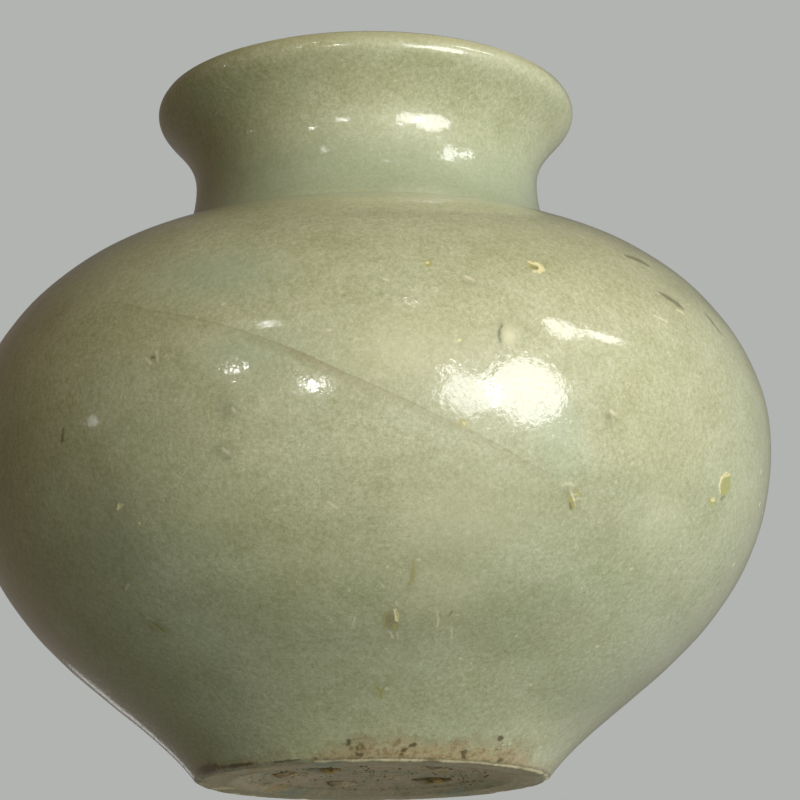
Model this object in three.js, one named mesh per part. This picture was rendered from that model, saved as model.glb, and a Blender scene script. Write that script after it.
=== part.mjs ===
// A small celadon water pot: a squat round jar on a narrow flat foot, with a short neck that flares to a lip.
// Millimetres, +Z up. The origin is the middle of the foot, on the surface that the pot stands on.
import * as THREE from 'three';

// The outside of the body
const bodyRadius = 44;
const bellyHeight = 35.9;
const shoulderHeight = 58.5;
const footRadius = 18.8;
const footFlareAngle = 55.8;      // degrees from level, where the side leaves the foot
const shoulderSlope = 9.4;        // degrees from level, where the shoulder meets the neck

// How full the side is: how far each curve keeps its first direction
const footPull = 10.1;
const fullnessBelowBelly = 0.587;
const fullnessAboveBelly = 0.395;
const shoulderFullness = 0.66;

// The neck and its lip
const neckRadius = 19.4;
const neckHeight = 18.4;          // from the shoulder to the top of the lip
const waistRise = 8;              // from the shoulder to the narrowest place of the neck
const neckSpreadAtFoot = 2.9;
const mouthSpread = 4.3;
const lipLean = 42;               // degrees from upright, at the lip

// How the neck curves: shares of its spread and of its rise on each side of the waist
const rootTuck = 0.5;
const rootLift = 0.17;
const waistHold = 0.5;
const lipPull = 0.33;

// The clay and the glaze
const bodyWall = 3.2;
const neckWall = 2.4;
const baseThickness = 5.4;
const glazeThickness = 0.4;
const seamGap = 0.3;              // between any two pieces that touch on the pot
const lipMeeting = 90;            // degrees around the lip's half round, where the two coats of glaze meet

// The underside
const edgeBevel = 0.35;
const bareBand = 1.4;             // bare clay between the table and the edge of the glaze
const restingRingWidth = 3.6;
const dishDepth = 1.1;

// Kiln grit that the firing left in the dish, each by its bearing and how far in it lies from the dish's edge
const gritThickness = 0.42;
const gritCrumbs = [
  { bearing: 184, fromEdge: 5.6, length: 4.8, width: 3.0, turn: 82 },
  { bearing: 112, fromEdge: 5.4, length: 4.2, width: 2.8, turn: 40 },
  { bearing: 47, fromEdge: 5.6, length: 5.4, width: 2.8, turn: 150 },
  { bearing: 212, fromEdge: 9.6, length: 3.0, width: 2.2, turn: 40 },
  { bearing: 322, fromEdge: 6.2, length: 3.6, width: 2.6, turn: 62 },
];

// How far a crumb's edge wanders from an ellipse, in broad and in fine waves
const broadWaves = { count: 3, share: 0.12 };
const fineWaves = { count: 5, share: 0.07 };

// How finely the round shapes are cut
const turnSteps = 40;
const sideSteps = 6;
const neckSteps = 4;
const lipSteps = 4;
const dishSteps = 4;
const crumbTurnSteps = 12;
const crumbHeightSteps = 6;

const radians = THREE.MathUtils.degToRad;
const point = (r, z) => new THREE.Vector2(r, z);

const coatDepth = glazeThickness + seamGap;
const neckSection = neckWall + 2 * coatDepth;

const bodyFinish = { color: 0x9a8f7c, roughness: 0.85, metalness: 0 };
const glazeFinish = { color: 0xa9ab8e, roughness: 0.2, metalness: 0 };
const gritFinish = { color: 0xb9a684, roughness: 0.95, metalness: 0 };

// The side of the pot, from the table up to the foot of the neck
function sideCurve() {
  const foot = point(footRadius, 0);
  const belly = point(bodyRadius, bellyHeight);
  const root = point(neckRadius + neckSpreadAtFoot, shoulderHeight);
  const flare = radians(footFlareAngle);
  const slope = radians(shoulderSlope);
  const shoulderPull = shoulderFullness * (bodyRadius - root.x);

  const side = new THREE.CurvePath();
  side.add(new THREE.CubicBezierCurve(
    foot,
    point(foot.x + footPull * Math.cos(flare), footPull * Math.sin(flare)),
    point(bodyRadius, bellyHeight * (1 - fullnessBelowBelly)),
    belly,
  ));
  side.add(new THREE.CubicBezierCurve(
    belly,
    point(bodyRadius, bellyHeight + fullnessAboveBelly * (shoulderHeight - bellyHeight)),
    point(root.x + shoulderPull * Math.cos(slope), shoulderHeight - shoulderPull * Math.sin(slope)),
    root,
  ));
  return side;
}

// The outside of the neck, from the shoulder over its waist to the start of the lip
function neckCurve() {
  const root = point(neckRadius + neckSpreadAtFoot, shoulderHeight);
  const waist = point(neckRadius, shoulderHeight + waistRise);
  const lean = radians(lipLean);
  const lipRadius = neckSection / 2;
  // The lip is a half round, so its middle lies half a wall inside the end of the neck
  const lipMiddle = point(neckRadius + mouthSpread - lipRadius, shoulderHeight + neckHeight - lipRadius);
  const end = point(lipMiddle.x + lipRadius * Math.cos(lean), lipMiddle.y - lipRadius * Math.sin(lean));
  const rise = end.y - waist.y;

  const neck = new THREE.CurvePath();
  neck.add(new THREE.CubicBezierCurve(
    root,
    point(root.x - rootTuck * neckSpreadAtFoot, root.y + rootLift * waistRise),
    point(waist.x, waist.y - waistHold * waistRise),
    waist,
  ));
  neck.add(new THREE.CubicBezierCurve(
    waist,
    point(waist.x, waist.y + waistHold * rise),
    point(end.x - lipPull * rise * Math.sin(lean), end.y - lipPull * rise * Math.cos(lean)),
    end,
  ));
  return neck;
}

// Points along a curve, each with the direction in which the curve runs and the one that goes into the wall
function stations(path, stepsPerCurve) {
  const found = [];
  path.curves.forEach((curve, index) => {
    for (let step = index === 0 ? 0 : 1; step <= stepsPerCurve; step += 1) {
      const share = step / stepsPerCurve;
      const along = curve.getTangent(share);
      found.push({ at: curve.getPoint(share), along, inward: point(-along.y, along.x) });
    }
  });
  return found;
}

const sunk = (station, depth) => station.at.clone().addScaledVector(station.inward, depth);

const side = stations(sideCurve(), sideSteps);
const neck = stations(neckCurve(), neckSteps);
const sideTop = side.at(-1);
const neckTop = neck.at(-1);

// The part of a line of points above a height, starting exactly at that height; a point just above it is dropped
function above(points, height) {
  const first = points.findIndex((p) => p.y > height);
  const low = points[first - 1];
  const high = points[first];
  const start = low.clone().lerp(high, (height - low.y) / (high.y - low.y));
  const kept = points.slice(first);
  return start.distanceTo(kept[0]) < seamGap ? [start, ...kept.slice(1)] : [start, ...kept];
}

const sideAt = (depth) => side.map((station) => sunk(station, depth));
const neckAt = (depth) => neck.map((station) => sunk(station, depth));

// A stretch of the half round at the lip: angle 0 is the outside of the neck and 180 degrees its inside
function lipArc(radius, fromDegrees, toDegrees) {
  const middle = sunk(neckTop, neckSection / 2);
  return Array.from({ length: lipSteps + 1 }, (_, step) => {
    const angle = radians(THREE.MathUtils.lerp(fromDegrees, toDegrees, step / lipSteps));
    return middle.clone()
      .addScaledVector(neckTop.inward, -radius * Math.cos(angle))
      .addScaledVector(neckTop.along, radius * Math.sin(angle));
  });
}

// Turns an outline on the wheel; the outline runs anticlockwise, seen with the axis on its left
function turned(name, outline, finish) {
  const closes = outline[0].x > 0;
  const geometry = new THREE.LatheGeometry(closes ? [...outline, outline[0]] : outline, turnSteps);
  geometry.rotateX(Math.PI / 2);
  return named(name, geometry, finish);
}

function named(name, geometry, finish) {
  const mesh = new THREE.Mesh(geometry, new THREE.MeshStandardMaterial(finish));
  mesh.name = name;
  return mesh;
}

const dishRadius = footRadius - edgeBevel - restingRingWidth;
// The dish under the base is flat in the middle and curves down to the ring that the pot rests on
const dishCeiling = (distance) => dishDepth * (1 - (distance / dishRadius) ** 4);

// The slab at the bottom, with its resting ring, the dish inside it and the bare band around it
function baseSlab() {
  const dish = Array.from({ length: dishSteps + 1 }, (_, step) => {
    const distance = dishRadius * Math.sqrt(step / dishSteps);
    return point(distance, dishCeiling(distance));
  });
  const bevelTop = above(sideAt(0), edgeBevel)[0];
  const bandTop = above(sideAt(0), bareBand)[0];
  const underGlaze = above(sideAt(coatDepth), bareBand);
  const covered = underGlaze.filter((p) => p.y < baseThickness);
  const rim = above(sideAt(coatDepth), baseThickness)[0];
  return turned('base_slab', [
    ...dish,
    point(footRadius - edgeBevel, 0),
    bevelTop,
    bandTop,
    ...covered,
    rim,
    point(0, baseThickness),
  ], bodyFinish);
}

// The thrown wall of the body, standing on the slab and ending at the foot of the neck
function bodyShell() {
  const bottom = baseThickness + seamGap;
  return turned('body_wall', [
    ...above(sideAt(coatDepth), bottom),
    ...above(sideAt(coatDepth + bodyWall), bottom).reverse(),
  ], bodyFinish);
}

// The neck, luted on the shoulder around the opening of the body
function neckCollar() {
  const seat = (depth) => sunk(sideTop, depth).addScaledVector(sideTop.along, seamGap);
  return turned('neck_collar', [
    seat(coatDepth),
    ...neckAt(coatDepth).slice(1, -1),
    ...lipArc(neckWall / 2, 0, 180),
    ...neckAt(coatDepth + neckWall).slice(1, -1).reverse(),
    seat(coatDepth + neckWall),
  ], bodyFinish);
}

// Half of the gap between the two coats of glaze on top of the lip, as an angle
const lipGapAngle = THREE.MathUtils.radToDeg(seamGap / 2 / (neckSection / 2 - glazeThickness));

// The coat outside, from the bare band at the foot up to the top of the lip
function outerGlaze() {
  const end = lipMeeting - lipGapAngle;
  return turned('outer_glaze', [
    ...above(sideAt(0), bareBand + seamGap),
    ...neckAt(0).slice(1, -1),
    ...lipArc(neckSection / 2, 0, end),
    ...lipArc(neckSection / 2 - glazeThickness, 0, end).reverse(),
    ...neckAt(glazeThickness).slice(1, -1).reverse(),
    ...above(sideAt(glazeThickness), bareBand + seamGap).reverse(),
  ], glazeFinish);
}

// The coat inside, from the top of the lip down over the floor of the pot
function innerGlaze() {
  const start = lipMeeting + lipGapAngle;
  const clayBody = coatDepth + bodyWall + seamGap;
  const clayNeck = coatDepth + neckWall + seamGap;
  const floor = baseThickness + seamGap;
  return turned('inner_glaze', [
    point(0, floor),
    ...above(sideAt(clayBody), floor),
    ...neckAt(clayNeck).slice(1, -1),
    ...lipArc(neckSection / 2 - glazeThickness, start, 180).reverse(),
    ...lipArc(neckSection / 2, start, 180),
    ...neckAt(clayNeck + glazeThickness).slice(1, -1).reverse(),
    ...above(sideAt(clayBody + glazeThickness), floor + glazeThickness).reverse(),
    point(0, floor + glazeThickness),
  ], glazeFinish);
}

// A flat crumb of grit that clings to the dish
function gritCrumb({ bearing, fromEdge, length, width, turn }, index) {
  const geometry = new THREE.SphereGeometry(1, crumbTurnSteps, crumbHeightSteps);
  geometry.rotateX(Math.PI / 2);
  const places = geometry.attributes.position;
  const middle = point(dishRadius - fromEdge, 0).rotateAround(point(0, 0), radians(bearing));
  for (let i = 0; i < places.count; i += 1) {
    const round = point(places.getX(i), places.getY(i));
    const angle = Math.atan2(round.y, round.x);
    const broad = broadWaves.share * Math.sin(broadWaves.count * angle + index);
    const fine = fineWaves.share * Math.sin(fineWaves.count * angle + 2 * index);
    const ragged = 1 + broad + fine;
    const flat = point(round.x * ragged * length / 2, round.y * ragged * width / 2);
    flat.rotateAround(point(0, 0), radians(turn)).add(middle);
    const drop = gritThickness * (1 - places.getZ(i)) / 2;
    places.setXYZ(i, flat.x, flat.y, dishCeiling(flat.length()) - seamGap - drop);
  }
  return named(`grit_crumb_${index + 1}`, geometry, gritFinish);
}

const pot = new THREE.Group();
pot.add(baseSlab(), bodyShell(), neckCollar(), outerGlaze(), innerGlaze());
gritCrumbs.forEach((crumb, index) => pot.add(gritCrumb(crumb, index)));

export default pot;
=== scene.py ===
import math
import random

import bmesh
import bpy
import numpy as np
from mathutils import Matrix, Vector, kdtree, noise


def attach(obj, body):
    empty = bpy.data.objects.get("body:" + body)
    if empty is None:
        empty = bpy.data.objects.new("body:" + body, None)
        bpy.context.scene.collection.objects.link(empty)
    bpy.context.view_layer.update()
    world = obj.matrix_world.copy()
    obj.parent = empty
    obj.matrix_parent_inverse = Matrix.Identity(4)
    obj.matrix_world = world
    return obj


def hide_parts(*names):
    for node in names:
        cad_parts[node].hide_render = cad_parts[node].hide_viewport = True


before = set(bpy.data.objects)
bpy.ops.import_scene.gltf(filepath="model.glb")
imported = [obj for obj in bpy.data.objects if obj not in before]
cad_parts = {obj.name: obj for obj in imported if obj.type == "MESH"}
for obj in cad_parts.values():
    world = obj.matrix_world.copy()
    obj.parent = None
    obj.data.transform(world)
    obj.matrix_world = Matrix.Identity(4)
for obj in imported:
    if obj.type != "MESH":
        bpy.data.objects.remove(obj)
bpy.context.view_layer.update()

# A small celadon water pot: a squat round jar on a narrow flat foot, with a short neck that flares to a lip.
# Lengths here are in millimetres, and become metres where a mesh, a lamp or the camera is made.
# A bearing is in degrees around the pot: 0 is its front, and it grows to the right as seen from the front.
MM = 0.001

# The outside of the body
body_radius = 44.0
belly_height = 35.9
shoulder_height = 58.5
foot_radius = 18.8
foot_flare_angle = 55.8
shoulder_slope = 9.4
foot_pull = 10.1
fullness_below_belly = 0.587
fullness_above_belly = 0.395
shoulder_fullness = 0.66

# The neck and its lip
neck_radius = 19.4
neck_height = 18.4
waist_rise = 8.0
neck_spread_at_foot = 2.9
mouth_spread = 4.3
lip_lean = 42.0
root_tuck = 0.5
root_lift = 0.17
waist_hold = 0.5
lip_pull = 0.33

# The wall from the outside of the glaze to its inside
body_section = 4.6
neck_section = 3.8
outer_coat = 0.4
inner_coat = 0.3
skin_clearance = 0.02

# The foot, its underside and the floor inside
edge_bevel = 0.35
glaze_line = 1.55
resting_ring_width = 3.6
dish_radius = foot_radius - edge_bevel - resting_ring_width
dish_depth = 1.1
slab_thickness = 5.4
slab_tuck = 0.6
floor_top = 6.1
floor_corner_rise = 5.0
floor_corner_radius = 8.0

# How finely the outlines are drawn and softened
curve_steps = 240
lip_steps = 60
fine_step = 0.1
outer_softness = 0.5
inner_softness = 0.8


# Outlines, as points of radius and height

def bezier(start, first_pull, second_pull, end):
    share = np.linspace(0.0, 1.0, curve_steps + 1)[:, None]
    rest = 1.0 - share
    return (
        rest ** 3 * np.array(start)
        + 3 * rest ** 2 * share * np.array(first_pull)
        + 3 * rest * share ** 2 * np.array(second_pull)
        + share ** 3 * np.array(end)
    )


def runs(points):
    """The distance of each point along its line."""
    steps = np.linalg.norm(np.diff(points, axis=0), axis=1)
    return np.concatenate([[0.0], np.cumsum(steps)])


def taken(points, places):
    """The points of a line at distances along it."""
    return np.stack([np.interp(places, runs(points), points[:, axis]) for axis in (0, 1)], axis=1)


def directions(points):
    along = np.gradient(points, axis=0)
    return along / np.linalg.norm(along, axis=1)[:, None]


def inward(points):
    """Directions into the wall, for a line that runs up the outside and down the inside."""
    along = directions(points)
    return np.stack([-along[:, 1], along[:, 0]], axis=1)


def sunk(points, depth):
    return points + inward(points) * depth


def evenly(points):
    length = runs(points)[-1]
    return taken(points, np.linspace(0.0, length, int(round(length / fine_step)) + 1))


def soften(points, softness):
    """Rounds off the creases of an evenly drawn line, with its ends held."""
    reach = int(4 * softness / fine_step)
    weights = np.exp(-0.5 * (np.arange(-reach, reach + 1) * fine_step / softness) ** 2)
    weights /= weights.sum()
    before = 2 * points[0] - points[reach:0:-1]
    after = 2 * points[-1] - points[-2:-reach - 2:-1]
    padded = np.vstack([before, points, after])
    return np.stack([np.convolve(padded[:, axis], weights, "valid") for axis in (0, 1)], axis=1)


def side_outline():
    flare = math.radians(foot_flare_angle)
    slope = math.radians(shoulder_slope)
    root_radius = neck_radius + neck_spread_at_foot
    pull = shoulder_fullness * (body_radius - root_radius)
    below = bezier(
        (foot_radius, 0.0),
        (foot_radius + foot_pull * math.cos(flare), foot_pull * math.sin(flare)),
        (body_radius, belly_height * (1 - fullness_below_belly)),
        (body_radius, belly_height),
    )
    above = bezier(
        (body_radius, belly_height),
        (body_radius, belly_height + fullness_above_belly * (shoulder_height - belly_height)),
        (root_radius + pull * math.cos(slope), shoulder_height - pull * math.sin(slope)),
        (root_radius, shoulder_height),
    )
    return np.vstack([below, above[1:]])


def neck_outline():
    lean = math.radians(lip_lean)
    lip_radius = neck_section / 2
    root = (neck_radius + neck_spread_at_foot, shoulder_height)
    waist = (neck_radius, shoulder_height + waist_rise)
    end_radius = neck_radius + mouth_spread - lip_radius * (1 - math.cos(lean))
    end_height = shoulder_height + neck_height - lip_radius * (1 + math.sin(lean))
    rise = end_height - waist[1]
    below = bezier(
        root,
        (root[0] - root_tuck * neck_spread_at_foot, root[1] + root_lift * waist_rise),
        (waist[0], waist[1] - waist_hold * waist_rise),
        waist,
    )
    above = bezier(
        waist,
        (waist[0], waist[1] + waist_hold * rise),
        (end_radius - lip_pull * rise * math.sin(lean), end_height - lip_pull * rise * math.cos(lean)),
        (end_radius, end_height),
    )
    return np.vstack([below, above[1:]])


def lip_arc(neck, start_angle, end_angle):
    """The half round of the lip: 0 degrees is the outside of the neck and 180 its inside."""
    into = inward(neck)[-1]
    along = directions(neck)[-1]
    middle = neck[-1] + into * neck_section / 2
    angles = np.radians(np.linspace(start_angle, end_angle, lip_steps))[:, None]
    return middle + (along * np.sin(angles) - into * np.cos(angles)) * neck_section / 2


def inside_outline(neck, side):
    """From the lip down the inside of the neck and the body, and over the floor to the axis."""
    inner_neck = sunk(neck, neck_section)[::-1]
    inner_side = sunk(side, body_section)[::-1]
    inner_side = inner_side[inner_side[:, 1] > floor_top + floor_corner_rise]
    bottom = inner_side[-1]
    corner = bezier(
        bottom,
        bottom + directions(inner_side)[-1] * floor_corner_rise,
        (floor_corner_radius * 2, floor_top),
        (floor_corner_radius, floor_top),
    )
    return np.vstack([inner_neck, inner_side[1:], corner[1:], [[0.0, floor_top]]])


side = side_outline()
neck = neck_outline()
outside = evenly(np.vstack([side, neck[1:], lip_arc(neck, 0, 90)[1:]]))
inside = evenly(np.vstack([lip_arc(neck, 90, 180), inside_outline(neck, side)[1:]]))
outside = sunk(soften(outside, outer_softness), skin_clearance)
inside = sunk(soften(inside, inner_softness), skin_clearance)
inside[:, 0] = np.maximum(inside[:, 0], 0.0)
inside[-1, 0] = 0.0
outside_run = runs(outside)


def run_at_height(height):
    """How far up the outside a height on the body lies."""
    body = outside_run < np.interp(shoulder_height, outside[:, 1], outside_run)
    return float(np.interp(height, outside[body][:, 1], outside_run[body]))


def ring_places(points, widest, turn):
    """Places for the rings along a line, closer together where it bends by more than the turn in degrees."""
    smoothing = 15
    run = runs(points)
    along = directions(points)
    heading = np.unwrap(np.arctan2(along[:, 1], along[:, 0]))
    wanted = np.maximum(1.0 / widest, np.abs(np.gradient(heading, run)) / math.radians(turn))
    kernel = np.ones(smoothing) / smoothing
    padded = np.pad(wanted, smoothing // 2, mode="edge")
    wanted = np.maximum(wanted, np.convolve(padded, kernel, "valid"))
    total = np.concatenate([[0.0], np.cumsum((wanted[1:] + wanted[:-1]) / 2 * np.diff(run))])
    shares = np.linspace(0.0, total[-1], int(math.ceil(total[-1])) + 1)
    return np.interp(shares, total, run)


# Small helpers for node trees

class Wire:
    """A value on its way between nodes. Its sums, products and shares are Math nodes."""

    def __init__(self, socket):
        self.socket = socket
        self.tree = socket.id_data

    def __add__(self, other):
        return reckon("ADD", self, other)

    def __sub__(self, other):
        return reckon("SUBTRACT", self, other)

    def __rsub__(self, other):
        return reckon("SUBTRACT", other, self)

    def __mul__(self, other):
        return reckon("MULTIPLY", self, other)

    def __truediv__(self, other):
        return reckon("DIVIDE", self, other)

    def __rtruediv__(self, other):
        return reckon("DIVIDE", other, self)

    def __abs__(self):
        return reckon("ABSOLUTE", self)

    __radd__ = __add__


def feed(inputs, values):
    """Gives each input that is named a wire, or else a number, a colour or a name."""
    for name, value in values.items():
        if isinstance(value, Wire):
            value.tree.links.new(value.socket, inputs[name])
        else:
            inputs[name].default_value = value


class Node:
    """A node in a tree, with what its inputs are given and its settings. Its outputs are taken as wires."""

    def __init__(self, tree, kind, given=None, **settings):
        made = tree.nodes.new(kind)
        for name, value in settings.items():
            setattr(made, name, value)
        feed(made.inputs, given or {})
        self.outputs = made.outputs

    def __getitem__(self, name):
        return Wire(self.outputs[name])


def reckon(operation, first, second=None):
    tree = first.tree if isinstance(first, Wire) else second.tree
    given = {0: first} if second is None else {0: first, 1: second}
    return Node(tree, "ShaderNodeMath", given, operation=operation)[0]


def between(value, low, high, to_low=0.0, to_high=1.0):
    """A smooth step of a value from low to high."""
    given = {"Value": value, "From Min": low, "From Max": high, "To Min": to_low, "To Max": to_high}
    return Node(value.tree, "ShaderNodeMapRange", given, interpolation_type="SMOOTHSTEP")["Result"]


def larger(first, second):
    return reckon("MAXIMUM", first, second)


def blended(colour, *layers):
    """A colour with others laid over it, each as strongly as its mask says."""
    for mask, tone in layers:
        colour = Node(mask.tree, "ShaderNodeMix", {0: mask, 6: colour, 7: tone}, data_type="RGBA")[2]
    return colour


def cloud(place, size, detail=2.0, roughness=0.5, output="Fac"):
    """Noise whose blotches are about as wide as the size, in millimetres."""
    given = {"Vector": place, "Scale": 1.0 / (size * MM), "Detail": detail, "Roughness": roughness}
    return Node(place.tree, "ShaderNodeTexNoise", given)[output]


def apart(place):
    """A place's three coordinates, by number."""
    return Node(place.tree, "ShaderNodeSeparateXYZ", {0: place})


def height_of(place):
    """How high a place is, in millimetres."""
    return apart(place)[2] * (1 / MM)


def vector_math(operation, first, second):
    tree = first.tree if isinstance(first, Wire) else second.tree
    second_input = "Scale" if operation == "SCALE" else 1
    return Node(tree, "ShaderNodeVectorMath", {0: first, second_input: second}, operation=operation)[0]


def toned(colour, tone):
    """A colour made lighter or darker by a tone. Its blue follows more, so that the darks are yellower."""
    blue = (tone - 1.0) * blue_follows + 1.0
    tones = Node(tone.tree, "ShaderNodeCombineXYZ", {0: tone, 1: tone, 2: blue})[0]
    return vector_math("MULTIPLY", colour if isinstance(colour, Wire) else colour[:3], tones)


def bumped(height, distance, strength=1.0, normal=None):
    """The normal of a bump on top of another, with its distance in millimetres."""
    given = {"Height": height, "Distance": distance * MM, "Strength": strength}
    if normal is not None:
        given["Normal"] = normal
    return Node(height.tree, "ShaderNodeBump", given)["Normal"]


def kept(place, name):
    """A value that is kept on the points of the mesh."""
    return Node(place.tree, "ShaderNodeAttribute", attribute_name=name, attribute_type="GEOMETRY")["Fac"]


def paint(red, green, blue):
    """A colour given as it looks on a screen, from 0 to 255."""
    levels = [channel / 255 for channel in (red, green, blue)]
    return tuple(v / 12.92 if v <= 0.04045 else ((v + 0.055) / 1.055) ** 2.4 for v in levels) + (1.0,)


def effect_named(name, takes, gives):
    """A shader node group, and its inputs as wires. Place is a vector, Colour a colour, the rest numbers."""
    kinds = {"Place": "NodeSocketVector", "Colour": "NodeSocketColor"}
    tree = bpy.data.node_groups.new(name, "ShaderNodeTree")
    for way, titles in (("INPUT", takes), ("OUTPUT", gives)):
        for title in titles:
            tree.interface.new_socket(title, in_out=way, socket_type=kinds.get(title, "NodeSocketFloat"))
    given = Node(tree, "NodeGroupInput")
    return tree, *(given[title] for title in takes)


def put_out(tree, **values):
    Node(tree, "NodeGroupOutput", values)
    return tree


def placed(effect, place, **values):
    """Puts an effect into a material, with its own values."""
    return Node(place.tree, "ShaderNodeGroup", {"Place": place, **values}, node_tree=effect)


# The finishes' colours
glaze_green = paint(190, 191, 151)
glaze_cool = paint(184, 188, 151)
glaze_warm = paint(193, 190, 147)
glaze_pool = paint(150, 166, 140)
glaze_blue = paint(166, 188, 162)
chip_cream = paint(238, 230, 176)
chip_ochre = paint(200, 184, 122)
thin_olive = paint(172, 168, 90)
blister_pale = paint(224, 220, 186)
# The dark of cracks and specks, also used as painted shadow
crack_and_shadow_dark = paint(98, 92, 54)
scratch_pale = paint(222, 218, 186)
iron_dark = paint(72, 66, 50)
stain_brown = paint(132, 108, 62)
hairline_tan = paint(136, 114, 70)
stain_tan = paint(174, 152, 114)
stain_dark = paint(84, 70, 36)
# The grey-green of small smudges, also used as painted shade
smudge_and_shade_grey = paint(116, 122, 92)
# The pale of a milky blister, also used as painted light
glaze_bloom_and_painted_light = paint(226, 224, 184)
edge_cream = paint(232, 220, 180)
clay_grey_brown = paint(192, 180, 150)
clay_pink = paint(206, 186, 158)
clay_blue_grey = paint(170, 172, 152)
clay_dark = paint(118, 104, 74)
clay_ochre = paint(196, 164, 106)
wall_grey_light = paint(176, 168, 150)
wall_grey_dark = paint(160, 152, 134)

# How the finishes behave
blue_follows = 1.5
grain_strength = 1.0
wheel_band_flatness = 2.6
gloss_low = 0.03
gloss_spread = 0.09
skin_depth = 0.02
haze_roughness = 0.42
dull_roughness = 0.8
glaze_ior = 1.5

# Where the glaze changes, as heights from and to
neck_pool_below = (57.0, 60.0)
neck_pool_above = (72.0, 62.0)
thin_lip = (74.6, 76.6)
floor_pool = (14.0, 7.0)

# The stain above the foot: its middle's bearing, its half width in degrees and its heights
stain_bearing = 22.0
stain_spread = 26.0
stain_fade = 14.0
low_stain = 0.9
high_stain = 2.4
stain_wander = 5.0


# Effects that the finishes share

def make_fired_grain():
    """Fine mottling with short pale and dark curls in it: a tone of about 1, and the height of the skin."""
    tree, place, strength = effect_named("fired_grain", ["Place", "Strength"], ["Tone", "Height"])
    fine = cloud(place, 0.5, detail=2.2, roughness=0.95) - 0.5
    middle = cloud(place, 1.8, detail=1.0) - 0.5
    broad = cloud(place, 5.0, roughness=0.6) - 0.5
    where = Node(tree, "ShaderNodeSeparateColor", {0: cloud(place, 0.9, detail=1.0, output="Color")})
    curls = 0.0
    for channel, size, force in ((0, 1.0, 0.20), (1, 0.8, -0.15)):
        winding = abs(cloud(place, size, detail=1.5) - 0.5)
        curls += between(winding, 0.022, 0.004) * between(where[channel], 0.57, 0.64) * force
    shift = fine + broad * 0.30 + middle * 0.16 + curls
    return put_out(tree, Tone=shift * strength + 1.0, Height=cloud(place, 0.55) + curls * 1.6)


def make_sparse_specks():
    """Small round specks, in a share of the cells of an uneven net. Sizes are in millimetres."""
    takes = ["Place", "Spacing", "Radius", "Share"]
    tree, place, spacing, radius, share = effect_named("sparse_specks", takes, ["Mask"])
    net = Node(tree, "ShaderNodeTexVoronoi", {"Vector": place, "Scale": (1 / MM) / spacing}, feature="F1")
    chosen = Node(tree, "ShaderNodeSeparateColor", {0: net["Color"]})
    varied = radius / spacing * (chosen[1] + 0.4)
    in_speck = between(net["Distance"], varied, varied * 0.55)
    return put_out(tree, Mask=in_speck * reckon("LESS_THAN", chosen[0], share))


def make_ragged_mark():
    """A mark with a ragged edge, from the distance into it in millimetres."""
    takes = ["Place", "Distance", "Raggedness", "Softness"]
    tree, place, distance, raggedness, softness = effect_named("ragged_mark", takes, ["Mask"])
    wander = (cloud(place, 0.35, detail=3.0, roughness=0.65) - 0.5) * raggedness
    return put_out(tree, Mask=between(distance + wander, softness * -1.0, softness))


def make_turning_lines():
    """Fine lines around the axis, as the wheel and the trimming tool leave them."""
    tree, place, spacing = effect_named("turning_lines", ["Place", "Spacing"], ["Lines"])
    x, y, height = (apart(place)[axis] for axis in range(3))
    per_metre = (1 / MM) / spacing
    around = reckon("SINE", reckon("ARCTAN2", y, x))
    along = {0: reckon("SQRT", x * x + y * y) * per_metre, 1: height * per_metre, 2: around}
    unrolled = Node(tree, "ShaderNodeCombineXYZ", along)[0]
    return put_out(tree, Lines=cloud(unrolled, 1 / MM, detail=3.0))


def make_celadon():
    """The celadon: soft patches of near greens, bands of the wheel, grain, specks, and the skin's height."""
    tree, place = effect_named("celadon", ["Place"], ["Colour", "Skin"])
    grain = placed(fired_grain, place, Strength=grain_strength)
    patches = blended(
        glaze_green,
        (between(cloud(place, 24.0, detail=3.0), 0.36, 0.66), glaze_cool),
        (between(cloud(place, 12.0, detail=1.5), 0.42, 0.78, 0.0, 0.6), glaze_warm),
    )
    flattened = vector_math("MULTIPLY", place, (1.0, 1.0, wheel_band_flatness))
    colour = toned(patches, grain["Tone"] * between(cloud(flattened, 17.0), 0.25, 0.75, 0.93, 1.06))
    pale = placed(sparse_specks, place, Spacing=2.6, Radius=0.16, Share=0.22)["Mask"] * 0.35
    dark = placed(sparse_specks, place, Spacing=3.4, Radius=0.13, Share=0.12)["Mask"] * 0.35
    colour = blended(colour, (pale, scratch_pale), (dark, iron_dark))
    return put_out(tree, Colour=colour, Skin=grain["Height"])


def make_foot_stain():
    """The tan stain that creeps up from the foot, highest at the right of the front, and its browns."""
    tree, place = effect_named("foot_stain", ["Place"], ["Tan", "Brown"])
    parts = apart(place)
    off_middle = abs(reckon("ARCTAN2", parts[0], parts[1] * -1.0) - math.radians(stain_bearing))
    far = math.radians(stain_spread + stain_fade)
    highest = between(off_middle, far, math.radians(stain_spread), low_stain, high_stain)
    creep = (cloud(place, 1.6, detail=4.0, roughness=0.7) - 0.5) * stain_wander
    left = highest - (height_of(place) + creep)
    tan = between(left, -0.3, 1.5)
    blots = between(cloud(place, 0.7, detail=4.0, roughness=0.75), 0.46, 0.60)
    # The stain is a little darker along its upper border, like a dried-up drop
    border = between(left, -0.2, 0.1) * between(left, 0.6, 0.2)
    return put_out(tree, Tan=tan, Brown=larger(blots * tan, border * 0.35))


fired_grain = make_fired_grain()
sparse_specks = make_sparse_specks()
ragged_mark = make_ragged_mark()
turning_lines = make_turning_lines()
celadon = make_celadon()
foot_stain = make_foot_stain()


# The finishes

def finish_named(name):
    """A new material, its Principled shader's inputs, and the place that its patterns read."""
    material = bpy.data.materials.new(name)
    material.use_nodes = True
    tree = material.node_tree
    return material, tree.nodes["Principled BSDF"].inputs, Node(tree, "ShaderNodeTexCoord")["Object"]


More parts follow.
